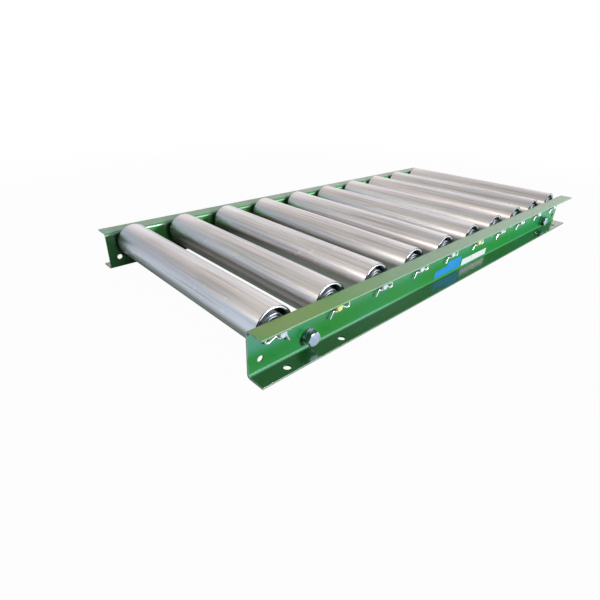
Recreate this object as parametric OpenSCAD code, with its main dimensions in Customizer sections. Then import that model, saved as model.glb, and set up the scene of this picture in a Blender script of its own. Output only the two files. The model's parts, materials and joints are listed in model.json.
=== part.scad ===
// Gravity roller conveyor section: two pressed channel rails, cross stays between them,
// and a row of free-turning steel rollers on fixed axles held by spring pins.
// X runs along the conveyor, Y across it and Z up. Lengths are in millimetres.
// The origin is on the floor plane, under the middle of the section.

/* [Conveyor] */
// Number of rollers
roller_count = 10; // [3:1:10]
// Distance between neighbouring axles
roller_pitch = 100; // [85:1:150]
// Clear width between the two rail webs
inner_w = 410; // [250:1:800]
// Distance from the end of a rail to its nearest axle
end_margin = 48; // [42:1:90]

/* [Rails] */
// Height of a rail
rail_h = 68; // [64:1:100]
// Width of a rail's flanges, from the roller side of the web to the tip
rail_flange = 30; // [26:1:50]
// Sheet thickness of the rails
rail_t = 2.6; // [1.6:0.1:4]
// Inside radius of the rail bends
rail_bend_in = 3.2; // [1:0.1:4]
// Height of the axles above the underside of the rails
axle_z = 47.5; // [44:0.5:50]

/* [Rail holes] */
// Diameter of the coupling holes near the rail ends
coupling_hole_d = 9; // [6:0.5:14]
// Distance of a coupling hole from the rail end
coupling_hole_in = 19; // [14:1:24]
// Height of the coupling holes
coupling_hole_z = 20; // [16:1:24]
// Diameter of the leg holes in the lower flanges
leg_hole_d = 10; // [6:0.5:12]
// Distance of the leg holes from the roller side of the web
leg_hole_out = 18; // [16:0.5:19]

/* [Cross stays] */
// Outside diameter of a stay pipe
stay_d = 25.4; // [21:0.1:30]
// Wall of a stay pipe
stay_wall = 2.3; // [1.2:0.1:3]
// Length of the tapped plug welded into each end of a stay
plug_len = 32; // [26:1:50]
// Height of the stays
stay_z = 20; // [18:0.5:22]
// Thread diameter of the stay bolts
bolt_d = 12; // [8:1:14]
// Width across flats of a bolt head
bolt_af = 19; // [16:0.5:22]
// Height of a bolt head
bolt_head_h = 7.5; // [5:0.5:10]
// Length of bolt inside the stay plug
bolt_grip = 20; // [12:1:24]
// Outside diameter of a flat washer
washer_d = 24; // [21:0.5:28]
// Thickness of a flat washer
washer_t = 2.5; // [1.5:0.1:3]
// Outside diameter of a spring washer
spring_washer_d = 21; // [18:0.5:23]
// Thickness of a spring washer
spring_washer_t = 3; // [2:0.1:4]
// Width of the split in a spring washer
spring_split_w = 1.4; // [0.8:0.1:2.5]

/* [Rollers] */
// Outside diameter of a roller
roller_d = 60.5; // [54:0.1:72]
// Wall of a roller tube
tube_wall = 2.3; // [1.9:0.1:2.8]
// Gap between a roller's end and the rail web
roller_gap = 7; // [5:0.5:15]
// Wall of a tube round the bored seat of its bearing housing
seat_wall = 1.4; // [1.3:0.1:1.7]
// Rounding of a tube's outer end edge
tube_edge_r = 1; // [0.4:0.1:1.1]

/* [Bearings] */
// Diameter of an axle
axle_d = 12; // [10:0.5:15]
// Thickness of an inner race under its balls
race_wall = 2; // [1.5:0.1:3]
// Height of a race's shoulder beside the balls
race_shoulder = 1.4; // [0.8:0.1:2]
// Diameter of a bearing ball
ball_d = 8; // [6:0.1:9]
// Sheet thickness of a bearing housing
housing_t = 1.6; // [1:0.1:2.5]
// Radius of the rolled rim of a bearing housing
rim_r = 1.3; // [1:0.1:1.6]
// Distance of the rolled rim from the roller's end plane
rim_set_in = 0.3; // [0.1:0.1:1]
// Wall of the housing hub behind the balls
hub_wall = 3.2; // [2.8:0.1:4]
// Width of the round rim in front of the hub
hub_rim_w = 1.6; // [1.2:0.1:2]
// Depth of a bearing housing, from its hub's front to its back
housing_depth = 13; // [13:0.5:18]
// Distance of the hub's front from the roller's end plane
hub_set_in = 1; // [0.5:0.1:1.8]
// Radius at the bottom of the housing's groove
groove_r = 2.5; // [1:0.1:2.6]
// Thickness of a dust shield
shield_t = 2.4; // [2.3:0.1:3]
// Rounding of a dust shield's front edge
shield_edge_r = 2; // [0.5:0.1:2]
// Distance of a dust shield's front from the roller's end plane
shield_in = 0.4; // [0.2:0.1:0.8]
// Width of the open ring between a dust shield and the hub's rim
shield_gap = 2; // [1.2:0.1:2.5]

/* [Axle pins] */
// Wire diameter of a spring pin
wire_d = 2.6; // [2:0.1:3]
// Radius of a pin's eye, to the middle of the wire
eye_r = 4; // [3:0.1:4.5]
// Radius of a pin's waist beside the axle, to the middle of the wire
waist_r = 3; // [2.6:0.1:4]
// Slope of a pin's formed leg between waist and eye, in degrees
eye_slope = 27; // [18:1:30]
// Turn of a pin's flared tail, in degrees
tail_turn = 60; // [45:1:65]
// How much lower a pin's waist is on the tail's side
tail_drop = 2.5; // [0:0.1:3]
// Length of a pin's flared tail
tail_len = 9.5; // [4:0.5:11]
// Length of a pin's straight leg beyond the axle
leg_past = 10; // [2:0.5:12]
// Gap between a pin's wire and the rail web
pin_web_gap = 2.6; // [1:0.1:5]
// Length of axle beyond a pin's wire
axle_tip = 4; // [2:0.5:6]
// Usual lean of the pins from level, in degrees
pin_lean = 2.5; // [0:0.5:5]
// Largest difference of a pin from that lean, in degrees
pin_tilt = 2; // [0:0.5:4]

/* [Clearances] */
// Radial clearance of an axle or bolt in a rail hole
hole_clear = 0.25; // [0.1:0.05:0.5]
// Radial clearance of parts that are pressed or screwed together
fit_clear = 0.05; // [0.02:0.01:0.1]
// Radial clearance of balls in their races
ball_clear = 0.06; // [0.03:0.01:0.1]
// Clearance between a turning part and a still one beside it
run_clear = 0.3; // [0.2:0.05:0.6]
// Chamfer on axle ends, bolt ends and plugs
chamfer = 1; // [0.3:0.1:1.2]

/* [Hidden] */
$fn = 72;
wire_sides = 8;
wire_step = 25;
ball_facets = 48;
cut = 1;
rail_l = (roller_count - 1) * roller_pitch + 2 * end_margin;
web_in = inner_w / 2;
web_out = web_in + rail_t;
rail_bend_out = rail_bend_in + rail_t;

function axle_x(i) = (i - (roller_count + 1) / 2) * roller_pitch;
rollers = [1 : roller_count];
sides = [-1, 1];
stay_x = (axle_x(roller_count) + axle_x(roller_count - 1)) / 2;
leg_hole_x = [axle_x(1), axle_x(2), axle_x(roller_count - 1), axle_x(roller_count)];
coupling_x = rail_l / 2 - coupling_hole_in;

// Radii of the bearing, outwards from the axle
axle_r = axle_d / 2;
ball_r = ball_d / 2;
ball_ring_r = axle_r + race_wall + ball_r;
race_track_r = ball_r + ball_clear;
race_or = axle_r + race_wall + race_shoulder;
hub_ir = ball_ring_r + ball_r - race_shoulder;
hub_or = ball_ring_r + ball_r + hub_wall;
shield_or = hub_or - hub_rim_w - shield_gap;
ball_count = floor(180 / asin((ball_r + ball_clear) / ball_ring_r));

// Roller tube and the places along its axis, inwards from its end plane
tube_l = inner_w - 2 * roller_gap;
tube_end = tube_l / 2;
tube_or = roller_d / 2;
tube_ir = tube_or - tube_wall;
seat_ir = tube_or - seat_wall;
housing_or = seat_ir - fit_clear;
hub_face_in = shield_in + shield_t + fit_clear;
ball_in = hub_face_in + run_clear + ball_r;
housing_back = hub_set_in + housing_depth;
race_back = ball_in + ball_r;

// Axle ends and spring pins, outwards from the rail web
pin_out = pin_web_gap + wire_d / 2;
pin_y = web_out + pin_out;
axle_end = pin_y + wire_d / 2 + axle_tip;
pin_hole_d = wire_d + 2 * hole_clear;
wire_r = wire_d / 2 / cos(180 / wire_sides);
tilt_step = 137;
axle_turn = [for (i = rollers) pin_lean + pin_tilt * sin(i * tilt_step)];

// Spring pin outline: u along the straight leg towards the eye, v towards the formed leg
wrap_r = axle_r + wire_d / 2 + hole_clear;
waist_v = wire_d + hole_clear + waist_r;
waist_u = sqrt(pow(wrap_r + waist_r, 2) - pow(waist_v, 2));
wrap_from = atan2(waist_v, waist_u);
tail_v = waist_v + tail_drop;
tail_u = sqrt(pow(wrap_r + waist_r, 2) - pow(tail_v, 2));
wrap_to = atan2(tail_v, tail_u);
eye_join = [waist_u + waist_r * sin(eye_slope), waist_v - waist_r * cos(eye_slope)];
eye_run = (eye_r * (1 + cos(eye_slope)) - eye_join[1] * cos(eye_slope)) / sin(eye_slope);
eye = [eye_join[0] + eye_run, eye_r];
tail_start = [-tail_u - waist_r * sin(tail_turn), tail_v - waist_r * cos(tail_turn)];
// Line of the wire: straight leg, eye, waist, wrap round the axle, waist and flared tail
function on_circle(centre, r, angle) = centre + r * [cos(angle), sin(angle)];
function arc(centre, r, from, to, first = 0) =
    let (steps = ceil(abs(to - from) / wire_step))
        [for (k = [first : steps]) on_circle(centre, r, from + (to - from) * k / steps)];
pin_line = concat([[-axle_r - leg_past, 0]],
                  arc(eye, eye_r, -90, 90 + eye_slope),
                  arc([waist_u, waist_v], waist_r, 270 + eye_slope, 180 + wrap_from),
                  arc([0, 0], wrap_r, wrap_from, 180 - wrap_to, first = 1),
                  arc([-tail_u, tail_v], waist_r, 360 - wrap_to, 270 - tail_turn, first = 1),
                  [on_circle(tail_start, tail_len, 180 - tail_turn)]);
// Heading of a line at one of its points, and a point on the wire round it
function unit(v) = v / norm(v);
function leg(line, k) = unit(line[k + 1] - line[k]);
function heading(line, k) = unit(leg(line, max(k - 1, 0)) + leg(line, min(k, len(line) - 2)));
function wire_point(at, way, angle) =
    [at[0] - wire_r * cos(angle) * way[1], at[1] + wire_r * cos(angle) * way[0], wire_r * sin(angle)];

function two_digits(i) = i < 10 ? str("0", i) : str(i);
function numbered(name, i) = str(name, "_", two_digits(i));
frame_nodes = ["right_rail", "left_rail", "cross_stays", "stay_plugs", "flat_washers",
               "spring_washers", "stay_bolts", "inner_races", "spring_pins"];
roller_nodes = ["axle", "roller_tube", "bearing_housings", "bearing_balls", "dust_shields"];

// Finishes
paint = [0.13, 0.50, 0.22];
steel = [0.72, 0.71, 0.69];
zinc = [0.78, 0.80, 0.82];
race_metal = [0.60, 0.61, 0.63];

// Lays a shape's Z axis along +Y
module along_y() {
    rotate([-90, 0, 0]) children();
}

// Repeats a shape that is drawn for the left side on both sides of the conveyor
module both_sides() {
    for (side = sides) on_side(side) children();
}

// The left side as drawn, or its mirror image on the right
module on_side(side) {
    if (side > 0) children();
    else mirror([0, 1, 0]) children();
}

// Repeats a shape at both stays
module at_stays() {
    for (end = [-1, 1]) translate([end * stay_x, 0, stay_z]) children();
}

// Round bar along +Z with chamfered ends
module chamfered_bar(r, h) {
    rotate_extrude()
        polygon([[0, 0], [r - chamfer, 0], [r, chamfer], [r, h - chamfer], [r - chamfer, h], [0, h]]);
}

// Plain ring along +Z
module ring(outer_r, inner_r, h) {
    difference() {
        cylinder(r = outer_r, h = h);
        translate([0, 0, -cut]) cylinder(r = inner_r, h = h + 2 * cut);
    }
}

// Upright rectangle whose two left corners are round
module left_rounded(w, h, r) {
    translate([r, 0]) square([w - r, h]);
    translate([0, r]) square([r + cut, h - 2 * r]);
    for (v = [r, h - r]) translate([r, v]) circle(r);
}

// Channel section of a rail: web at the left, flanges to the right
module rail_section() {
    difference() {
        left_rounded(rail_flange, rail_h, rail_bend_out);
        translate([rail_t, rail_t])
            left_rounded(rail_flange, rail_h - 2 * rail_t, rail_bend_in);
    }
}

// Holes in a rail's web for the axles, the stay bolts and the coupling bolts
module web_holes() {
    for (i = rollers)
        translate([axle_x(i), 0, axle_z])
            along_y() cylinder(r = axle_r + hole_clear, h = rail_t + 2 * cut);
    at_stays() along_y() cylinder(r = bolt_d / 2 + hole_clear, h = rail_t + 2 * cut);
    for (end = [-1, 1])
        translate([end * coupling_x, 0, coupling_hole_z])
            along_y() cylinder(d = coupling_hole_d, h = rail_t + 2 * cut);
}

// Pressed channel rail, drawn for the left side
module rail() {
    color(paint)
        difference() {
            translate([-rail_l / 2, web_in, 0])
                rotate([90, 0, 90]) linear_extrude(rail_l) rail_section();
            translate([0, web_in - cut, 0]) web_holes();
            for (x = leg_hole_x)
                translate([x, web_in + leg_hole_out, -cut]) cylinder(d = leg_hole_d, h = rail_t + 2 * cut);
        }
}

module right_rail() {
    on_side(-1) rail();
}

module left_rail() {
    on_side(1) rail();
}

// Pipes that tie the rails together
module cross_stays() {
    color(zinc)
        at_stays() translate([0, -web_in, 0]) along_y()
            ring(stay_d / 2, stay_d / 2 - stay_wall, inner_w);
}

// Tapped plugs in the ends of the stays
module stay_plugs() {
    color(zinc)
        both_sides() at_stays() translate([0, web_in - plug_len, 0]) along_y()
            difference() {
                chamfered_bar(stay_d / 2 - stay_wall - fit_clear, plug_len);
                translate([0, 0, -cut]) cylinder(r = bolt_d / 2 + fit_clear, h = plug_len + 2 * cut);
            }
}

// Washers under the stay bolts, flat against the rails
module flat_washers() {
    color(zinc)
        both_sides() at_stays() translate([0, web_out, 0]) along_y()
            ring(washer_d / 2, bolt_d / 2 + hole_clear, washer_t);
}

// Split spring washers between the flat washers and the bolt heads
module spring_washers() {
    split_lean = 20;
    color(zinc)
        both_sides() at_stays() translate([0, web_out + washer_t, 0]) along_y()
            difference() {
                ring(spring_washer_d / 2, bolt_d / 2 + hole_clear, spring_washer_t);
                translate([spring_washer_d / 2, 0, spring_washer_t / 2]) rotate([split_lean, 0, 0])
                    cube([spring_washer_d, spring_split_w, 3 * spring_washer_t], center = true);
            }
}

// Hexagon head with its outer corners turned off, along +Z
module hex_head() {
    corner_r = bolt_af / sqrt(3);
    point_up = 90;
    turn_slope = 30;
    turned = (corner_r - bolt_af / 2) * tan(turn_slope);
    intersection() {
        rotate(point_up) cylinder(r = corner_r, h = bolt_head_h, $fn = 6);
        rotate_extrude()
            polygon([[0, 0], [corner_r + cut, 0],
                     [corner_r + cut, bolt_head_h - turned - cut * tan(turn_slope)],
                     [bolt_af / 2, bolt_head_h], [0, bolt_head_h]]);
    }
}

// Hexagon bolts that hold the stays
module stay_bolts() {
    shank = bolt_grip + rail_t + washer_t + spring_washer_t;
    color(zinc)
        both_sides() at_stays() translate([0, web_in - bolt_grip, 0]) along_y() {
            chamfered_bar(bolt_d / 2, shank + chamfer);
            translate([0, 0, shank]) hex_head();
        }
}

// Turned inner races on the axles, each with a boss that reaches the rail web
module inner_races() {
    boss_r = (axle_r + race_or) / 2 + race_shoulder / 2;
    web_face = -roller_gap + run_clear;
    color(race_metal)
        for (i = rollers)
            translate([axle_x(i), 0, axle_z]) both_sides() translate([0, tube_end, 0]) along_y()
                rotate_extrude()
                    difference() {
                        union() {
                            translate([axle_r + fit_clear, -race_back])
                                square([race_or - axle_r - fit_clear, race_back - shield_in]);
                            translate([axle_r + fit_clear, -shield_in - cut])
                                square([boss_r - axle_r - fit_clear, shield_in + cut - web_face]);
                        }
                        translate([ball_ring_r, -ball_in]) circle(race_track_r);
                    }
}

// Fixed axle with a cross hole for a spring pin near each end
module axle(i) {
    color(zinc)
        translate([axle_x(i), 0, axle_z])
            difference() {
                translate([0, -axle_end, 0]) along_y() chamfered_bar(axle_r, 2 * axle_end);
                rotate([0, axle_turn[i - 1], 0])
                    for (side = sides)
                        translate([-axle_d, side * pin_y, 0])
                            rotate([0, 90, 0]) cylinder(d = pin_hole_d, h = 2 * axle_d);
            }
}

// Rectangle whose upper right corner is round
module upper_right_rounded(w, h, r) {
    square([w, h - r]);
    square([w - r, h]);
    intersection() {
        square([w, h]);
        translate([w - r, h - r]) circle(r);
    }
}

// Half of a tube's outline: wall, bored seat and rounded end edge
module tube_outline() {
    seat_l = housing_back + fit_clear;
    difference() {
        translate([tube_ir, 0]) upper_right_rounded(tube_wall, tube_end, tube_edge_r);
        translate([tube_ir - cut, tube_end - seat_l]) square([seat_ir - tube_ir + cut, seat_l + cut]);
    }
}

// Steel tube whose ends are bored for the bearing housings
module roller_tube(i) {
    color(steel)
        translate([axle_x(i), 0, axle_z]) along_y()
            rotate_extrude() {
                tube_outline();
                mirror([0, 1]) tube_outline();
            }
}

// Section of a pressed housing: rolled rim and sleeve in the tube, deep groove and hub round the balls
module housing_section() {
    rim_in = rim_set_in + rim_r;
    groove_w = housing_or - housing_t - hub_or;
    round_r = min(groove_r, groove_w / 2 - fit_clear);
    difference() {
        translate([hub_ir, -housing_back]) square([housing_or - hub_ir, housing_back - rim_in]);
        translate([hub_or, -housing_back + housing_t]) {
            translate([round_r, 0]) square([groove_w - 2 * round_r, housing_back]);
            translate([0, round_r]) square([groove_w, housing_back]);
            for (u = [round_r, groove_w - round_r]) translate([u, round_r]) circle(round_r);
        }
        translate([ball_ring_r, -ball_in]) circle(race_track_r);
        translate([0, -hub_face_in]) square([hub_or + cut, hub_face_in]);
    }
    translate([housing_or - rim_r, -rim_in]) circle(rim_r);
    hub_rim();
}

// Section of the ring in front of a hub, with a round edge
module hub_rim() {
    edge_r = hub_rim_w / 2;
    translate([hub_or - hub_rim_w, -hub_face_in - cut])
        square([hub_rim_w, hub_face_in + cut - hub_set_in - edge_r]);
    translate([hub_or - edge_r, -hub_set_in - edge_r]) circle(edge_r);
}

// Bearing housings in the two ends of a roller
module bearing_housings(i) {
    color(steel)
        translate([axle_x(i), 0, axle_z]) both_sides() translate([0, tube_end, 0]) along_y()
            rotate_extrude() housing_section();
}

// Full rings of loose balls in the two ends of a roller
module bearing_balls(i) {
    color(race_metal)
        translate([axle_x(i), 0, axle_z]) both_sides()
            for (k = [1 : ball_count])
                rotate([0, k * 360 / ball_count, 0])
                    translate([ball_ring_r, tube_end - ball_in, 0]) sphere(ball_r, $fn = ball_facets);
}

// Shields in the housing hubs that keep dust from the balls
module dust_shields(i) {
    bore_r = race_or + run_clear;
    color(zinc)
        translate([axle_x(i), 0, axle_z]) both_sides()
            translate([0, tube_end - shield_in - shield_t, 0]) along_y()
                rotate_extrude()
                    translate([bore_r, 0]) upper_right_rounded(shield_or - bore_r, shield_t, shield_edge_r);
}

// Spring pin in its own plane, swept along its line with a many-sided section
module spring_pin() {
    spans = len(pin_line) - 1;
    sides_of_span = [0 : wire_sides - 1];
    rings = [for (k = [0 : spans]) for (s = sides_of_span)
        wire_point(pin_line[k], heading(pin_line, k), 360 * (s + 0.5) / wire_sides)];
    walls = [for (k = [0 : spans - 1]) for (s = sides_of_span)
        let (from = k * wire_sides, next = (s + 1) % wire_sides)
            for (face = [[s, wire_sides + s, wire_sides + next], [s, wire_sides + next, next]])
                [for (v = face) from + v]];
    start_cap = [for (s = sides_of_span) s];
    end_cap = [for (s = sides_of_span) (spans + 1) * wire_sides - 1 - s];
    polyhedron(points = rings, faces = concat(walls, [start_cap, end_cap]));
}

// Spring pins through both ends of every axle; the first pair is put in from the other side
module spring_pins() {
    color(zinc)
        for (i = rollers)
            translate([axle_x(i), 0, axle_z]) rotate([0, axle_turn[i - 1], 0])
                for (side = sides)
                    translate([0, side * pin_y, 0]) mirror([i == 1 ? 1 : 0, 0, 0])
                        rotate([-90, 0, 0]) spring_pin();
}

right_rail();
left_rail();
cross_stays();
stay_plugs();
flat_washers();
spring_washers();
stay_bolts();
inner_races();
spring_pins();
for (i = rollers) {
    axle(i);
    roller_tube(i);
    bearing_housings(i);
    bearing_balls(i);
    dust_shields(i);
}
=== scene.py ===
import json
import math

import bmesh
import bpy
from mathutils import Matrix, Vector


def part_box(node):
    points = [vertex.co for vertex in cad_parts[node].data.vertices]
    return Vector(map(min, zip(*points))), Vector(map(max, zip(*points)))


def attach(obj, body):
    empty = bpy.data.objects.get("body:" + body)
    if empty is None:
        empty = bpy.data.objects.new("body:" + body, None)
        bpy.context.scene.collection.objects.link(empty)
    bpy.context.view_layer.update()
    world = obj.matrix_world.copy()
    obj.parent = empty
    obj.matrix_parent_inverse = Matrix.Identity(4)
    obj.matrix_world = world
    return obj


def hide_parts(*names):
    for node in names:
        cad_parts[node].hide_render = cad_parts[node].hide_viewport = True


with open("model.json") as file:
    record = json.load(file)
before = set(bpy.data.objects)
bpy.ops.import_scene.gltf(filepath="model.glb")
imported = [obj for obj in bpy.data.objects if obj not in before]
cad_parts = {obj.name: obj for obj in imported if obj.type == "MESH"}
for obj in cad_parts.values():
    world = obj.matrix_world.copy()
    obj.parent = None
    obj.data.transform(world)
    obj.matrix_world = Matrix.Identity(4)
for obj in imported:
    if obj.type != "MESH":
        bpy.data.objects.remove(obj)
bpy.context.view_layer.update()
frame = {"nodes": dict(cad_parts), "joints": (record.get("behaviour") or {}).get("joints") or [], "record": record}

# View. The conveyor lies on the floor and is seen from above its front right corner, through a wide lens
# that is held level to within two degrees.
view_place = Vector((-0.728, -0.532, 0.320))
azimuth, elevation, roll = (math.radians(angle) for angle in (-43.81, 28.22, 1.81))
view_back = Vector((math.sin(azimuth) * math.cos(elevation),
                    -math.cos(azimuth) * math.cos(elevation),
                    math.sin(elevation)))
level_right = Vector((math.cos(azimuth), math.sin(azimuth), 0))
level_up = view_back.cross(level_right)
view_right = level_right * math.cos(roll) + level_up * math.sin(roll)
view_up = level_up * math.cos(roll) - level_right * math.sin(roll)
view = bpy.data.objects.new("view", bpy.data.cameras.new("view"))
view.data.sensor_width = 36
view.data.lens = 25.07
view.data.clip_start = 0.01
view_turn = Matrix((view_right, view_up, view_back)).transposed().to_4x4()
view.matrix_world = Matrix.Translation(view_place) @ view_turn
bpy.context.scene.collection.objects.link(view)
bpy.context.scene.camera = view
bpy.context.scene.view_settings.view_transform = "Standard"


# Stage. A wide matt floor that renders white and keeps a soft shadow by the conveyor, under a plain studio
# dome: a bright pane and a cool wall past the front end, a light wall past the rear end, and dim on the
# right, where a small lamp stands low.
floor_size = 40
floor_drop = 0.0002


class Tap:
    """One socket of a finish's nodes. Sums on it add Math nodes, and node() adds any other node."""

    def __init__(self, socket):
        self.socket = socket

    def node(self, kind, settings, sockets, output=0):
        tree = self.socket.id_data
        made = tree.nodes.new("ShaderNode" + kind)
        for name, value in settings.items():
            setattr(made, name, value)
        for key, value in sockets.items():
            if isinstance(value, Tap):
                tree.links.new(value.socket, made.inputs[key])
            else:
                made.inputs[key].default_value = value
        return Tap(made.outputs[output])

    def maths(self, operation, *values):
        """A Math node on these values."""
        return self.node("Math", {"operation": operation}, dict(enumerate(values)))

    def __add__(self, other):
        return self.maths("ADD", self, other)

    def __sub__(self, other):
        return self.maths("SUBTRACT", self, other)

    def __rsub__(self, other):
        return self.maths("SUBTRACT", other, self)

    def __mul__(self, other):
        return self.maths("MULTIPLY", self, other)

    def __truediv__(self, other):
        return self.maths("DIVIDE", self, other)

    def __abs__(self):
        return self.maths("ABSOLUTE", self)

    def __floor__(self):
        return self.maths("FLOOR", self)

    __radd__ = __add__
    __rmul__ = __mul__

    def most(self, other):
        """The larger of two values."""
        return self.maths("MAXIMUM", self, other)

    def blend(self, first, second):
        """First colour where this value is 0, second where it is 1."""
        return self.node("Mix", {"data_type": "RGBA"}, {0: self, 6: first, 7: second}, 2)

    def rise(self, start, end):
        """0 below start, 1 above end and a smooth step between them."""
        return self.node("MapRange", {"interpolation_type": "SMOOTHSTEP"}, {0: self, 1: start, 2: end})

    def parts(self):
        """The three parts of a vector."""
        return [self.node("SeparateXYZ", {}, {0: self}, k) for k in range(3)]

    def grain(self, scale, detail, coarse=0.5):
        """Noise at this place, from 0 to 1."""
        sockets = {"Vector": self, "Scale": scale, "Detail": detail, "Roughness": coarse}
        return self.node("TexNoise", {}, sockets)

    def bump(self, distance, strength, under=None):
        """A normal raised by this value times a distance, over another bump where one is given."""
        sockets = {"Height": self, "Distance": distance, "Strength": strength}
        if under:
            sockets["Normal"] = under
        return self.node("Bump", {}, sockets)


floor_mesh = bpy.data.meshes.new("floor")
floor_shape = bmesh.new()
bmesh.ops.create_grid(floor_shape, x_segments=1, y_segments=1, size=floor_size,
                      matrix=Matrix.Translation((0, 0, -floor_drop)))
floor_shape.to_mesh(floor_mesh)
floor_shape.free()
floor = bpy.data.objects.new("floor", floor_mesh)
bpy.context.scene.collection.objects.link(floor)
floor_finish = bpy.data.materials.new("floor")
floor_finish.use_nodes = True
floor_nodes = floor_finish.node_tree.nodes
floor_nodes.clear()
floor_rays = floor_nodes.new("ShaderNodeLightPath")
seen = Tap(floor_rays.outputs["Is Camera Ray"])
mirrored = Tap(floor_rays.outputs["Is Glossy Ray"])
through = Tap(floor_rays.outputs["Is Transmission Ray"])
floor_place = Tap(floor_nodes.new("ShaderNodeTexCoord").outputs["Object"])
floor_x, floor_y = floor_place.parts()[:2]
floor_away = floor_place.node("VectorMath", {"operation": "LENGTH"}, {0: floor_place}, 1)
floor_beside = abs(floor_y).rise(0.235, 0.265)
floor_beyond = abs(floor_x).rise(0.50, 0.56)
floor_open = floor_beside.most(floor_beyond)
floor_matt = seen.node("BsdfDiffuse", {}, {"Color": (0.20, 0.20, 0.20, 1)})
# Painted reflected light: seen in reflections, the floor glows greenish under the conveyor and bluish beside it.
floor_reflection_tint = floor_open.blend((0.78, 1.0, 0.86, 1), (0.84, 0.95, 1.10, 1))
floor_tint = mirrored.blend((1, 1, 1, 1), floor_reflection_tint)
floor_glow = seen.node("Emission", {}, {"Color": floor_tint, "Strength": 1.0})
floor_white = (seen + through) * (0.975 + 0.025 * floor_away.rise(0.7, 1.8))
floor_shade = 0.19 - 0.12 * floor_y.rise(-0.05, 0.20)
floor_share = floor_white + mirrored * floor_shade.most(0.85 * floor_open)
floor_mix = seen.node("MixShader", {}, {0: floor_share, 1: floor_matt, 2: floor_glow})
floor_out = floor_nodes.new("ShaderNodeOutputMaterial")
floor_finish.node_tree.links.new(floor_mix.socket, floor_out.inputs["Surface"])
floor_mesh.materials.append(floor_finish)

dome = bpy.data.worlds.new("dome")
dome.use_nodes = True
bpy.context.scene.world = dome
dome_nodes = dome.node_tree.nodes
dome_way = Tap(dome_nodes.new("ShaderNodeTexCoord").outputs["Generated"])
dome_rays = dome_nodes.new("ShaderNodeLightPath")
dome_seen = Tap(dome_rays.outputs["Is Camera Ray"])
dome_mirrored = Tap(dome_rays.outputs["Is Glossy Ray"])
dome_x, dome_y, dome_z = dome_way.parts()
dome_front = dome_z.rise(0.28, 0.50).blend((0.54, 0.69, 0.88, 1), (0.60, 0.59, 0.58, 1))
dome_ends = dome_x.rise(-0.20, 0.45).blend(dome_front, (1.22, 1.15, 1.20, 1))
dome_corner = dome_y.rise(0.70, 0.95) * (1 - dome_x.rise(-0.2, 0.3)) * 0.45
dome_walls = dome_corner.blend(dome_ends, (0.22, 0.25, 0.29, 1))
dome_high = dome_x.rise(0.2, 0.7).blend((0.82, 0.77, 0.74, 1), (0.94, 0.93, 1.00, 1))
dome_upper = dome_z.rise(0.35, 0.80).blend(dome_walls, dome_high)
dome_top = dome_z.rise(0.84, 0.95).blend(dome_upper, (0.60, 0.60, 0.61, 1))
dome_pane = (0 - dome_x).rise(0.66, 0.80) * dome_z.rise(0.38, 0.48) * (1 - dome_z.rise(0.58, 0.68))
dome_paned = dome_pane.blend(dome_top, (4.10, 3.75, 3.55, 1))
dome_around = dome_y.rise(-0.20, 0.25).blend((0.07, 0.075, 0.08, 1), dome_paned)
dome_over = dome_z.rise(0.70, 0.84) * (1 - dome_mirrored)
dome_lit = dome_over.blend(dome_around, (1.05, 1.05, 1.05, 1))
patch_way = (0.45, -0.70, 0.55)
dome_facing = dome_way.node("VectorMath", {"operation": "DOT_PRODUCT"}, {0: dome_way, 1: patch_way}, 1)
dome_patch = dome_facing.rise(0.82, 0.90) * dome_mirrored
dome_light = dome_patch.blend(dome_lit, (1.7, 1.82, 2.0, 1))
dome_colour = dome_seen.blend(dome_light, (1, 1, 1, 1))
dome.node_tree.links.new(dome_colour.socket, dome_nodes["Background"].inputs["Color"])
dome_nodes["Background"].inputs["Strength"].default_value = 1.0

lamp_place = Vector((0.55, -2.3, 0.44))
lamp_light = bpy.data.lights.new("low_lamp", "AREA")
lamp_light.size = 0.14
lamp_light.energy = 74
lamp_light.color = (1.0, 0.98, 0.96)
lamp = bpy.data.objects.new("low_lamp", lamp_light)
lamp.location = lamp_place
lamp.rotation_euler = (-lamp_place).to_track_quat("-Z", "Y").to_euler()
lamp.visible_camera = False
bpy.context.scene.collection.objects.link(lamp)

# Rails. Steel sheet pressed into channels with the flanges outwards, drilled for axles, stays, legs and
# couplings, and sprayed with thick green enamel that rounds the cut edges. Dust lies on the top flanges,
# paler to the rear as painted reflection. Painted shade darkens the web behind the roller ends and low
# down, grime and painted shade darken the lower flanges, painted highlights and sheen run along the bends,
# flange tips and upper web, and the roller side is painted lighter as painted light.
sheet = 0.0026
bend_outside = 0.0058
edge_round = 0.0005
dust_depth = 0.001
axle_hole = 0.00625
bolt_hole = 0.00625
drill_length = 0.020
drill_sides = 48
stay_z = 0.020
axles = [Vector(joint["pos_m"]) for joint in frame["joints"]]
mounts = {mount["name"]: mount for mount in frame["record"]["mounts"]}
pitch = axles[1].x - axles[0].x
stay_x = [axles[0].x + pitch / 2, axles[-1].x - pitch / 2]
rail_low, rail_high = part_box("left_rail")
web_y = rail_low.y
tip_y = rail_high.y
end_x = rail_high.x
dust_z = rail_high.z - dust_depth
bend_z = rail_high.z - bend_outside


def new_finish(name):
    """A material, its main shader and the place on the surface as a Tap."""
    material = bpy.data.materials.new(name)
    material.use_nodes = True
    nodes = material.node_tree.nodes
    return material, nodes["Principled BSDF"], Tap(nodes.new("ShaderNodeTexCoord").outputs["Object"])


def feed(shader, sockets):
    """Sets or links the shader's sockets."""
    for name, value in sockets.items():
        if isinstance(value, Tap):
            shader.id_data.links.new(value.socket, shader.inputs[name])
        else:
            shader.inputs[name].default_value = value


def off_axle(x, z):
    """How far a place lies from the nearest roller's axle, along X and Z."""
    count = x / pitch
    return (count - math.floor(count) - 0.5) * pitch, z - axles[0].z


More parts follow.
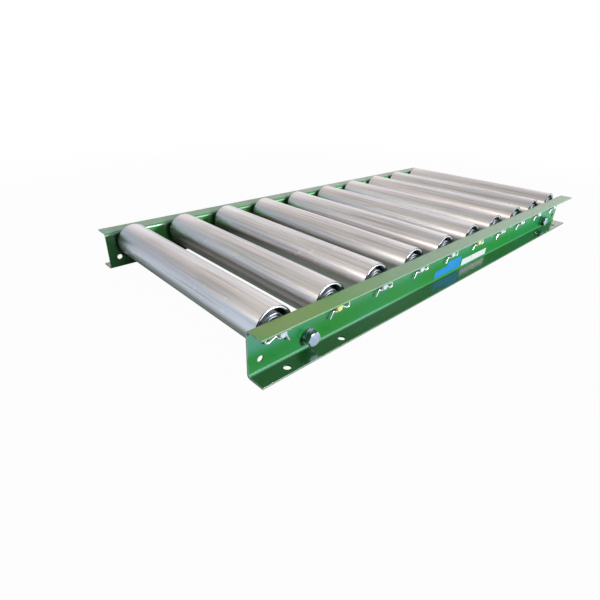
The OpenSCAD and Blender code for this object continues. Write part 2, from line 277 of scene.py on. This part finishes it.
def rail_colour_and_light(place, x, z, inside):
    """Green in slow drifts with a painted sheen high up, painted lighter on the roller side, with a painted
    highlight line on its bend.
    """
    drift = place.grain(9, 3).rise(0.3, 0.7)
    drifting = drift.blend((0.010, 0.185, 0.018, 1), (0.010, 0.195, 0.048, 1))
    # Painted sheen: a teal tint high on the web stands for the bright surroundings mirrored in the enamel, weaker
    # past the front end.
    painted_sheen = z.rise(0.024, 0.042) * (1 - 0.65 * x.rise(-0.45, -0.41))
    outside = painted_sheen.blend(drifting, (0.040, 0.235, 0.140, 1))
    # Painted light: the roller side is painted a lighter green, where light falls on the far web between the
    # rollers.
    inside_painted_lighter = inside.blend(outside, (0.042, 0.270, 0.050, 1))
    # Painted highlight: a pale line along the top bend on the roller side.
    top_bend_highlight = z.rise(bend_z - 0.0006, bend_z) * (1 - z.rise(bend_z + 0.0010, bend_z + 0.0016))
    return (inside * top_bend_highlight * 0.8).blend(inside_painted_lighter, (0.62, 0.80, 0.70, 1))


def rail_painted_shade(x, z):
    """Painted shade in a ring behind each roller's end and in a band low down that starts past the front end."""
    across, up = off_axle(x, z)
    ring = 1 - x.maths("SQRT", across * across + up * up).rise(0.031, 0.038)
    low = (1 - z.rise(0.024, 0.046)) * x.rise(0.020 - end_x, 0.045 - end_x)
    return ring.most(low) * 0.85


def rail_dust_and_sheen(place, x, y):
    """Dust that is olive at the front of the right rail and chalky elsewhere; the paler chalk is partly a painted
    reflection of bright walls at grazing angles.
    """
    olive = place.grain(16, 3).rise(0.35, 0.65).blend((0.15, 0.35, 0.03, 1), (0.27, 0.33, 0.05, 1))
    # Dust and painted reflection: paler towards the rear and on the left rail.
    chalk_and_sheen = x.rise(-0.50, -0.15).most(y.rise(-0.1, 0.1))
    return chalk_and_sheen.blend(olive, (0.34, 0.44, 0.32, 1))


def thin_paint_and_highlight(place, x, z, out):
    """How pale the flange tips are, as thin paint and a painted highlight, less so towards the rear, and how thin
    the paint is along the cut ends.
    """
    upper = z.rise(dust_z - 0.0006, dust_z) * 0.3
    lower = 0.5 - 0.5 * z.rise(0.004, 0.006)
    rearwards = 1 - 0.75 * x.rise(-0.42, -0.16)
    tip = out.rise(tip_y - 0.0009, tip_y - 0.0003) * (upper + lower) * rearwards
    end = abs(x).rise(end_x - 0.0007, end_x - 0.0002) * 0.6
    return tip.most(end) * place.grain(140, 3).rise(0.2, 0.5)


def green_enamel(name):
    """Glossy enamel with orange peel under painted shade, dust and grime, with a painted highlight line along the
    low bend.
    """
    material, shader, place = new_finish(name)
    x, y, z = place.parts()
    out = abs(y)
    inside = 1 - out.rise(web_y + 0.0002, web_y + 0.0010)
    # Painted shade: near-black green behind the roller ends and low on the roller side, where the rollers shade
    # the web.
    painted_shade = inside * rail_painted_shade(x, z)
    shaded_paint = painted_shade.blend(rail_colour_and_light(place, x, z, inside), (0.004, 0.012, 0.006, 1))
    top = z.rise(dust_z - 0.0005, dust_z)
    dust = top * (0.45 + 0.3 * place.grain(60, 5))
    dusty_and_sheened = dust.blend(shaded_paint, rail_dust_and_sheen(place, x, y))
    # Grime and painted shade: the lower flanges, under the top flanges, are painted darker.
    grime_and_shade = (1 - z.rise(sheet + 0.0001, sheet + 0.0014)) * (0.50 + 0.3 * place.grain(40, 3))
    grimy_and_shaded = grime_and_shade.blend(dusty_and_sheened, (0.018, 0.050, 0.014, 1))
    bend = (1 - out.rise(web_y + 0.0038, web_y + 0.0065)) * (1 - z.rise(0.0045, 0.0065))
    # Painted highlight: a pale line along the low bend, fading towards the rear.
    bend_highlight = bend * (0.45 - 0.36 * x.rise(-0.27, -0.10))
    bend_highlighted = bend_highlight.blend(grimy_and_shaded, (0.20, 0.48, 0.36, 1))
    # Pale flange tips: thin paint and a painted highlight line.
    colour = thin_paint_and_highlight(place, x, z, out).blend(bend_highlighted, (0.50, 0.62, 0.56, 1))
    web = 1 - out.rise(web_y + 0.003, web_y + 0.006)
    hazy = web * (1 - bend) * x.rise(-0.24, -0.06) * 0.75
    dull = top * (0.95 - 0.30 * x.rise(-0.3, 0.1))
    waves = place.grain(28, 1).bump(0.0006, 0.15)
    peel = place.grain(700, 1).bump(0.00004, 0.5, waves)
    feed(shader, {"Base Color": colour, "Roughness": 0.3 + 0.25 * dust + 0.22 * bend,
                  "Coat Weight": 1 - dull - hazy - bend, "Coat Roughness": 0.16,
                  "Specular IOR Level": 0.2, "Normal": peel})
    return material


def add_piece(name, shape, material, body, replaced=(), sharp=35):
    """Makes a finished bmesh a piece that rides on a body and stands for CAD nodes."""
    mesh = bpy.data.meshes.new(name)
    shape.to_mesh(mesh)
    shape.free()
    mesh.polygons.foreach_set("use_smooth", [True] * len(mesh.polygons))
    mesh.set_sharp_from_angle(angle=math.radians(sharp))
    mesh.materials.append(material)
    piece = bpy.data.objects.new(name, mesh)
    bpy.context.scene.collection.objects.link(piece)
    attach(piece, body)
    if replaced:
        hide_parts(*replaced)
    return piece


def carve(shape, cutter, operation):
    """A bmesh after a Boolean with another one; both are used up."""
    holders = []
    for bm in (shape, cutter):
        mesh = bpy.data.meshes.new("carve")
        bm.to_mesh(mesh)
        bm.free()
        holders.append(bpy.data.objects.new("carve", mesh))
        bpy.context.scene.collection.objects.link(holders[-1])
    boolean = holders[0].modifiers.new("carve", "BOOLEAN")
    boolean.operation = operation
    boolean.solver = "EXACT"
    boolean.object = holders[1]
    carved = bmesh.new()
    carved.from_object(holders[0], bpy.context.evaluated_depsgraph_get())
    for holder in holders:
        bpy.data.meshes.remove(holder.data)
    return carved


def add_drill(cutter, place, axis, radius):
    """Adds a drill for a round hole to a cutter."""
    turn = Vector((0, 0, 1)).rotation_difference(Vector(axis)).to_matrix().to_4x4()
    bmesh.ops.create_cone(cutter, cap_ends=True, segments=drill_sides, radius1=radius, radius2=radius,
                          depth=drill_length, matrix=Matrix.Translation(place) @ turn)


def metres(mount, size):
    """One of a mount's sizes, which the record gives in millimetres."""
    return mount["dims"][size] / 1000


def pressed_rail(node, side):
    """A rail from its web line and flanges: bent, given the sheet's thickness, then drilled."""
    low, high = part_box(node)
    web = low.y if side > 0 else high.y
    tip = high.y if side > 0 else low.y
    shape = bmesh.new()
    outline = ((tip, high.z), (web, high.z), (web, 0), (tip, 0))
    corners = [shape.verts.new((low.x, y, z)) for y, z in outline]
    line = [shape.edges.new(pair) for pair in zip(corners, corners[1:])]
    swept = bmesh.ops.extrude_edge_only(shape, edges=line)["geom"]
    bmesh.ops.translate(shape, verts=[v for v in swept if isinstance(v, bmesh.types.BMVert)],
                        vec=(high.x - low.x, 0, 0))
    bends = [e for e in shape.edges if len(e.link_faces) == 2]
    bmesh.ops.bevel(shape, geom=bends, offset=bend_outside, offset_type="OFFSET", affect="EDGES",
                    segments=10, profile=0.5, material=-1)
    bmesh.ops.recalc_face_normals(shape, faces=shape.faces)
    lean = sum(f.normal.y * f.calc_area() for f in shape.faces) * side
    bmesh.ops.solidify(shape, geom=shape.faces[:], thickness=sheet if lean < 0 else -sheet)
    bmesh.ops.recalc_face_normals(shape, faces=shape.faces)
    cutter = bmesh.new()
    for axle in axles:
        add_drill(cutter, (axle.x, web, axle.z), (0, 1, 0), axle_hole)
    for x in stay_x:
        add_drill(cutter, (x, web, stay_z), (0, 1, 0), bolt_hole)
    coupling = mounts["right_coupling_holes"]
    for end in (-0.5, 0.5):
        x = end * metres(coupling, "spacing_x_mm")
        add_drill(cutter, (x, web, coupling["pos_m"][2]), (0, 1, 0), metres(coupling, "hole_r_mm"))
    for legs in (mounts["leg_holes_front"], mounts["leg_holes_rear"]):
        across = side * metres(legs, "spacing_y_mm") / 2
        for end in (-0.5, 0.5):
            x = legs["pos_m"][0] + end * metres(legs, "spacing_x_mm")
            add_drill(cutter, (x, across, 0), (0, 0, 1), metres(legs, "hole_r_mm"))
    return carve(shape, cutter, "DIFFERENCE")


def round_off(piece, width, over_angle):
    """Rounds a piece's sharp edges."""
    rounding = piece.modifiers.new("rounded_edges", "BEVEL")
    rounding.width = width
    rounding.segments = 3
    rounding.limit_method = "ANGLE"
    rounding.angle_limit = math.radians(over_angle)
    rounding.harden_normals = True


rail_finish = green_enamel("rail_enamel")
for node, side in (("right_rail", -1), ("left_rail", 1)):
    shape = pressed_rail(node, side)
    rail = add_piece("painted_" + node, shape, rail_finish, "frame", [node])
    round_off(rail, edge_round, over_angle=40)

# Cross stays. Two steel pipes with a tapped plug welded into each end tie the rails together under the
# rollers. The pipe is dull zinc plated, and the plugs are bare turned steel.


def mottled(place, dark, light):
    """A fine mottle, and a colour between two tones that follows it and slow clouds."""
    mottle = place.grain(220, 4, 0.6)
    cloud = place.grain(36, 2)
    tone = (mottle * 0.6 + cloud * 0.4).rise(0.3, 0.7)
    return mottle, tone.blend(dark, light)


def plated(name, dark, light, rough, metallic=1.0):
    """Zinc plating or bare metal, mottled and with an uneven shine; a dull one is less metallic."""
    material, shader, place = new_finish(name)
    mottle, colour = mottled(place, dark, light)
    feed(shader, {"Base Color": colour, "Metallic": metallic, "Roughness": rough + 0.16 * (mottle - 0.5),
                  "Normal": mottle.bump(0.00002, 0.4)})
    return material


def dress(material, *nodes):
    """Gives CAD nodes a finish."""
    for node in nodes:
        mesh = frame["nodes"][node].data
        mesh.materials.clear()
        mesh.materials.append(material)


stay_finish = plated("stay_zinc", (0.46, 0.48, 0.49, 1), (0.64, 0.66, 0.67, 1), 0.5)
plug_finish = plated("plug_steel", (0.30, 0.30, 0.29, 1), (0.46, 0.46, 0.45, 1), 0.45)
dress(stay_finish, "cross_stays")
dress(plug_finish, "stay_plugs")

# Stay bolts and washers. Bright zinc plated hexagon bolts hold the stays, each over a split spring washer
# and a flat washer. A head is forged, its corners turned off at thirty degrees. Its flats are painted dark,
# as painted shade for the shadowed web they mirror.
head_flats = 0.019
head_height = 0.0075
turned_angle = math.radians(30)
turned_inside = 0.0003
blank_above = 0.0002
blank_margin = 1.2
shank_radius = 0.006
shank_sides = 48
turned_steps = 72
thread_reach = 0.020
bolt_round = 0.0003
bolt_sharp = 20
weld_gap = 1e-6
washer_finish = plated("washer_zinc", (0.34, 0.37, 0.41, 1), (0.50, 0.53, 0.57, 1), 0.25)
dress(washer_finish, "flat_washers", "spring_washers")


def hexagon_bolt(reach):
    """A bolt along Z: its head's top at 0 and its shank's tip at reach below."""
    corner = head_flats / math.sqrt(3)
    blank_radius = corner * blank_margin
    blank_height = head_height - (blank_radius - head_flats / 2) * math.tan(turned_angle)
    head = bmesh.new()
    bmesh.ops.create_cone(head, cap_ends=True, segments=6, radius1=corner, radius2=corner,
                          depth=head_height, matrix=Matrix.Translation((0, 0, -head_height / 2)))
    blank = bmesh.new()
    section = [(0, -2 * head_height), (blank_radius, -2 * head_height),
               (blank_radius, blank_height - head_height),
               (head_flats / 2 - turned_inside, blank_above), (0, blank_above)]
    line = [blank.verts.new((r, 0, z)) for r, z in section]
    edges = [blank.edges.new(pair) for pair in zip(line, line[1:])]
    bmesh.ops.spin(blank, geom=line + edges, cent=(0, 0, 0), axis=(0, 0, 1), angle=2 * math.pi,
                   steps=turned_steps, use_merge=True)
    bmesh.ops.remove_doubles(blank, verts=blank.verts, dist=weld_gap)
    bmesh.ops.recalc_face_normals(blank, faces=blank.faces)
    turned = carve(head, blank, "INTERSECT")
    shank = bmesh.new()
    bmesh.ops.create_cone(shank, cap_ends=True, segments=shank_sides, radius1=shank_radius,
                          radius2=shank_radius, depth=reach - head_height / 2,
                          matrix=Matrix.Translation((0, 0, -(reach + head_height / 2) / 2)))
    return carve(turned, shank, "UNION")


def bolt_zinc(name, face_y):
    """Bright zinc plating with the head's flats painted dark as painted shade, behind the face at face_y."""
    material, shader, place = new_finish(name)
    mottle, zinc = mottled(place, (0.56, 0.67, 0.87, 1), (0.66, 0.76, 0.95, 1))
    behind = 1 - abs(place.parts()[1]).rise(face_y - 0.0016, face_y - 0.0009)
    # Painted shade: the flats behind the face are nearly black.
    painted_flat_shade = behind * (0.70 + 0.4 * (mottle - 0.5))
    feed(shader, {"Base Color": painted_flat_shade.blend(zinc, (0.035, 0.040, 0.042, 1)), "Metallic": 0.85,
                  "Roughness": 0.34 + 0.16 * (mottle - 0.5) - 0.12 * behind,
                  "Normal": mottle.bump(0.000006, 0.4)})
    return material


bolt_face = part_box("stay_bolts")[1].y
zinc_finish = bolt_zinc("bright_zinc", bolt_face)
bolt_mesh = bpy.data.meshes.new("bolt")
bolt_shape = hexagon_bolt(bolt_face - (web_y - thread_reach))
bolt_shape.to_mesh(bolt_mesh)
bolt_shape.free()
bolts = bmesh.new()
for side in (-1, 1):
    for x in stay_x:
        before = len(bolts.verts)
        bolts.from_mesh(bolt_mesh)
        bolts.verts.ensure_lookup_table()
        placed = Matrix.Translation((x, side * bolt_face, stay_z))
        point_up = Matrix.Rotation(math.pi / 6, 4, "Y")
        outwards = Matrix.Rotation(-side * math.pi / 2, 4, "X")
        bmesh.ops.transform(bolts, verts=bolts.verts[before:], matrix=placed @ point_up @ outwards)
hexagons = add_piece("hexagon_bolts", bolts, zinc_finish, "frame", ["stay_bolts"],
                     sharp=bolt_sharp)
round_off(hexagons, bolt_round, over_angle=bolt_sharp)

# Axles. Drawn twelve millimetre bar, cut off in a lathe and zinc plated; they don't turn. Two have a
# yellowish passivation.
yellow_axles = ("axle_02", "axle_06")
axle_nodes = [name for name in frame["nodes"] if name.startswith("axle_")]
axle_finish = plated("grey_zinc", (0.46, 0.52, 0.60, 1), (0.60, 0.66, 0.74, 1), 0.5, 0.5)
yellow_finish = plated("yellow_zinc", (0.58, 0.56, 0.16, 1), (0.76, 0.74, 0.32, 1), 0.5, 0.5)
dress(axle_finish, *[name for name in axle_nodes if name not in yellow_axles])
dress(yellow_finish, *yellow_axles)

# Bearings. In each end of a roller a pressed housing with a rolled rim carries a ring of loose balls that
# run on a turned race, behind a plated shield. The housing's deep groove is painted black, as old grease
# and painted shade.
numbers = [f"{i:02d}" for i in range(1, len(axles) + 1)]
tube_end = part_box("roller_tube_01")[1].y
race_finish = plated("turned_steel", (0.52, 0.53, 0.55, 1), (0.74, 0.75, 0.77, 1), 0.22)
dress(race_finish, "inner_races", *["bearing_balls_" + n for n in numbers])
shield_finish = plated("shield_zinc", (0.72, 0.74, 0.77, 1), (0.88, 0.89, 0.91, 1), 0.32)
dress(shield_finish, *["dust_shields_" + n for n in numbers])


def zinc_with_grease_and_shade(name):
    """Zinc plated sheet that is bright at the roller's end and painted black deeper in, as grease and painted
    shade.
    """
    material, shader, place = new_finish(name)
    mottle = place.grain(220, 4, 0.6)
    zinc = mottle.blend((0.74, 0.80, 0.88, 1), (0.88, 0.92, 0.98, 1))
    depth = tube_end - abs(place.parts()[1])
    # Grease and painted shade: black with depth into the housing's groove.
    grease_and_shade = (depth + 0.002 * (place.grain(120, 3) - 0.5)).rise(0.0078, 0.0122)
    feed(shader, {"Base Color": grease_and_shade.blend(zinc, (0.012, 0.013, 0.015, 1)),
                  "Metallic": 0.6 - 0.6 * grease_and_shade, "Roughness": 0.34 + 0.1 * mottle,
                  "Normal": mottle.bump(0.00002, 0.4)})
    return material


dress(zinc_with_grease_and_shade("pressed_zinc"), *["bearing_housings_" + n for n in numbers])

# Roller tubes. Drawn steel tube, bored at the ends for the bearing housings, with its outer end edges
# rounded. Drawing leaves fine lengthwise streaks, goods leave pale scuffs, and a painted highlight
# brightens the ends.
tube_wall = 0.0023
seat_wall = 0.0014
seat_depth = 0.01405
tube_edge = 0.001
tube_steps = 128
rim_gap = 1e-5
streak_squeeze = 0.015
roller_shift = 0.37


def drawn_steel(name):
    """Satin drawn steel: streaks, warm bands and dark lines along the tube, pale scuffs, a painted highlight
    towards the ends, dark cut ends.
    """
    material, shader, place = new_finish(name)
    x, y, z = place.parts()
    across, up = off_axle(x, z)
    lengthwise = y * streak_squeeze + math.floor(x / pitch) * roller_shift
    along = place.node("CombineXYZ", {}, {0: across, 1: lengthwise, 2: up})
    fine = along.grain(420, 6, 0.7)
    broad = along.grain(70, 3)
    tone = (fine * 0.6 + broad * 0.4).rise(0.34, 0.66)
    steel = tone.blend((0.47, 0.475, 0.47, 1), (0.77, 0.77, 0.765, 1))
    bands = along.grain(45, 2).rise(0.44, 0.60) * 0.6
    warm = bands.blend(steel, (0.76, 0.69, 0.665, 1))
    lines = along.grain(260, 3).rise(0.54, 0.62) * 0.6
    lined = lines.blend(warm, (0.44, 0.40, 0.38, 1))
    scuffs = place.grain(95, 4).rise(0.60, 0.70) * broad.rise(0.48, 0.58) * 0.45
    scuffed = scuffs.blend(lined, (0.88, 0.85, 0.80, 1))
    out = abs(y)
    # Painted highlight: the tube is painted lighter towards its ends, where bright light is mirrored.
    ends = out.rise(tube_end - 0.110, tube_end - 0.004)
    bright = (ends * 0.26).blend(scuffed, (0.92, 0.89, 0.86, 1))
    cut = out.rise(tube_end - 0.0005, tube_end - 0.0002)
    feed(shader, {"Base Color": cut.blend(bright, (0.20, 0.20, 0.21, 1)), "Metallic": 1.0,
                  "Roughness": 0.40 + 0.2 * (fine - 0.5) - 0.08 * ends,
                  "Normal": fine.bump(0.00003, 0.35)})
    return material


def bored_tube(node):
    """A tube turned from its section, with its outer end edges rounded."""
    low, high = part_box(node)
    centre = (low + high) / 2
    outer = (high.z - low.z) / 2
    inner = outer - tube_wall
    seat = outer - seat_wall
    end = (high.y - low.y) / 2
    step = end - seat_depth
    section = [(outer, -end), (outer, end), (seat, end), (seat, step),
               (inner, step), (inner, -step), (seat, -step), (seat, -end)]
    shape = bmesh.new()
    ring = [shape.verts.new((0, y, r)) for r, y in section]
    edges = [shape.edges.new(pair) for pair in zip(ring, ring[1:] + ring[:1])]
    bmesh.ops.spin(shape, geom=ring + edges, cent=(0, 0, 0), axis=(0, 1, 0), angle=2 * math.pi,
                   steps=tube_steps, use_merge=True)
    bmesh.ops.remove_doubles(shape, verts=shape.verts, dist=weld_gap)
    bmesh.ops.recalc_face_normals(shape, faces=shape.faces)
    rims = [e for e in shape.edges if all(abs(math.hypot(v.co.x, v.co.z) - outer) < rim_gap and
                                          abs(abs(v.co.y) - end) < rim_gap for v in e.verts)]
    bmesh.ops.bevel(shape, geom=rims, offset=tube_edge, offset_type="OFFSET", affect="EDGES",
                    segments=5, profile=0.5, material=-1)
    bmesh.ops.translate(shape, verts=shape.verts, vec=centre)
    return shape


tube_finish = drawn_steel("drawn_steel")
for n in numbers:
    node = "roller_tube_" + n
    add_piece("tube_" + n, bored_tube(node), tube_finish, "roller_" + n, [node])

# Spring pins. Zinc plated spring wire bent to a hairpin: the straight leg goes through the axle's end and
# the formed leg snaps round it from below. The first pair was put in from the other side.
wire = 0.0013
wire_sides = 14
wire_clear = 0.00025
wire_weld = 1e-7
bend_step = math.radians(11)
fewest_steps = 4
pin_eye = 0.004
pin_waist = 0.003
eye_slope = math.radians(27)
tail_turn = math.radians(60)
tail_drop = 0.0025
tail_length = 0.0095
leg_past = 0.010
axle_radius = 0.006
pin_round = 0.0003
pin_lean = math.radians(2.5)
pin_tilt = math.radians(2)
tilt_step = math.radians(137)
pin_low, pin_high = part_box("spring_pins")


def hairpin():
    """Wire in the XZ plane, drawn and bent piece by piece from the tip of its straight leg at -X."""
    wrap = axle_radius + wire + wire_clear
    waist_down = 2 * wire + wire_clear + pin_waist
    waist_out = math.sqrt((wrap + pin_waist) ** 2 - waist_down ** 2)
    wrap_from = math.atan2(waist_down, waist_out)
    tail_down = waist_down + tail_drop
    tail_out = math.sqrt((wrap + pin_waist) ** 2 - tail_down ** 2)
    wrap_to = math.atan2(tail_down, tail_out)
    join_x = waist_out + pin_waist * math.sin(eye_slope)
    join_down = waist_down - pin_waist * math.cos(eye_slope)
    eye_rise = pin_eye * (1 + math.cos(eye_slope)) - join_down * math.cos(eye_slope)
    eye_x = join_x + eye_rise / math.sin(eye_slope)
    run = (eye_x - join_x) * math.cos(eye_slope) + (pin_eye - join_down) * math.sin(eye_slope)
    tip_x = -axle_radius - leg_past
    shape = bmesh.new()
    tip = Matrix.Translation((tip_x, 0, 0)) @ Matrix.Rotation(math.pi / 2, 4, "Y")
    bmesh.ops.create_circle(shape, segments=wire_sides, radius=wire, cap_ends=True, matrix=tip)
    ring = shape.edges[:]

    def draw(edges, length, angle):
        drawn = bmesh.ops.extrude_edge_only(shape, edges=edges)["geom"]
        bmesh.ops.translate(shape, verts=[v for v in drawn if isinstance(v, bmesh.types.BMVert)],
                            vec=(length * math.cos(angle), 0, -length * math.sin(angle)))
        return [e for e in drawn if isinstance(e, bmesh.types.BMEdge)]

    def bend(edges, x, down, angle):
        steps = max(fewest_steps, round(abs(angle) / bend_step))
        ends = set(v for e in edges for v in e.verts)
        bent = bmesh.ops.spin(shape, geom=list(ends) + edges, cent=(x, 0, -down), axis=(0, 1, 0),
                              angle=angle, steps=steps)["geom_last"]
        return [e for e in bent if isinstance(e, bmesh.types.BMEdge)]

    ring = draw(ring, eye_x - tip_x, 0)
    ring = bend(ring, eye_x, pin_eye, math.pi + eye_slope)
    ring = draw(ring, run, math.pi + eye_slope)
    ring = bend(ring, waist_out, waist_down, -(math.pi / 2 + eye_slope - wrap_from))
    ring = bend(ring, 0, 0, math.pi - wrap_from - wrap_to)
    ring = bend(ring, -tail_out, tail_down, -(math.pi / 2 - wrap_to + tail_turn))
    ring = draw(ring, tail_length, math.pi - tail_turn)
    bmesh.ops.holes_fill(shape, edges=ring)
    bmesh.ops.remove_doubles(shape, verts=shape.verts, dist=wire_weld)
    bmesh.ops.recalc_face_normals(shape, faces=shape.faces)
    return shape


pin_mesh = bpy.data.meshes.new("hairpin")
pin_shape = hairpin()
pin_shape.to_mesh(pin_mesh)
pin_shape.free()
pins = bmesh.new()
for i, axle in enumerate(axles, 1):
    for side_y in (pin_low.y + wire, pin_high.y - wire):
        before = len(pins.verts)
        pins.from_mesh(pin_mesh)
        pins.verts.ensure_lookup_table()
        placed = Matrix.Translation((axle.x, side_y, axle.z))
        tilted = Matrix.Rotation(pin_lean + pin_tilt * math.sin(i * tilt_step), 4, "Y")
        turned = Matrix.Diagonal((-1 if i == 1 else 1, 1, 1, 1))
        bmesh.ops.transform(pins, verts=pins.verts[before:], matrix=placed @ tilted @ turned)
bmesh.ops.recalc_face_normals(pins, faces=pins.faces)
pin_finish = plated("pin_zinc", (0.78, 0.84, 0.81, 1), (0.90, 0.94, 0.92, 1), 0.30, 0.65)
hairpins = add_piece("hairpins", pins, pin_finish, "frame", ["spring_pins"])
round_off(hairpins, pin_round, over_angle=60)

# Labels. Two thin vinyl labels, a blue one and a white one, are stuck low on the outside of the right rail.
# They are blank, and their corners are rounded.
film = 0.00015
label_corner = 0.0015


def label(name, outline, material):
    """A thin label on the outside of the right rail's web, from its corners along X and Z."""
    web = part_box("right_rail")[1].y - sheet
    shape = bmesh.new()
    shape.faces.new([shape.verts.new((x, web - film, z)) for x, z in outline])
    bmesh.ops.bevel(shape, geom=shape.verts[:], offset=label_corner, offset_type="OFFSET",
                    affect="VERTICES", segments=5, profile=0.5, material=-1)
    grown = bmesh.ops.extrude_face_region(shape, geom=shape.faces[:])["geom"]
    bmesh.ops.translate(shape, verts=[v for v in grown if isinstance(v, bmesh.types.BMVert)],
                        vec=(0, film, 0))
    bmesh.ops.recalc_face_normals(shape, faces=shape.faces)
    add_piece(name, shape, material, "frame")


def vinyl(name, first, second):
    """Coloured vinyl film with a slightly uneven gloss and surface."""
    material, shader, place = new_finish(name)
    cloud = place.grain(60, 3)
    feed(shader, {"Base Color": cloud.blend(first, second), "Roughness": 0.22 + 0.15 * cloud,
                  "Normal": place.grain(180, 2).bump(0.0001, 0.15)})
    return material


blue_outline = [(-0.089, 0.0075), (0.003, 0.0075), (0.003, 0.029), (-0.045, 0.029),
                (-0.048, 0.0225), (-0.087, 0.0205)]
white_outline = [(0.008, 0.0065), (0.108, 0.0065), (0.108, 0.0195), (0.008, 0.0195)]
label("blue_label", blue_outline, vinyl("blue_vinyl", (0.008, 0.19, 0.49, 1), (0.015, 0.24, 0.57, 1)))
label("white_label", white_outline, vinyl("white_vinyl", (0.52, 0.57, 0.61, 1), (0.60, 0.65, 0.69, 1)))
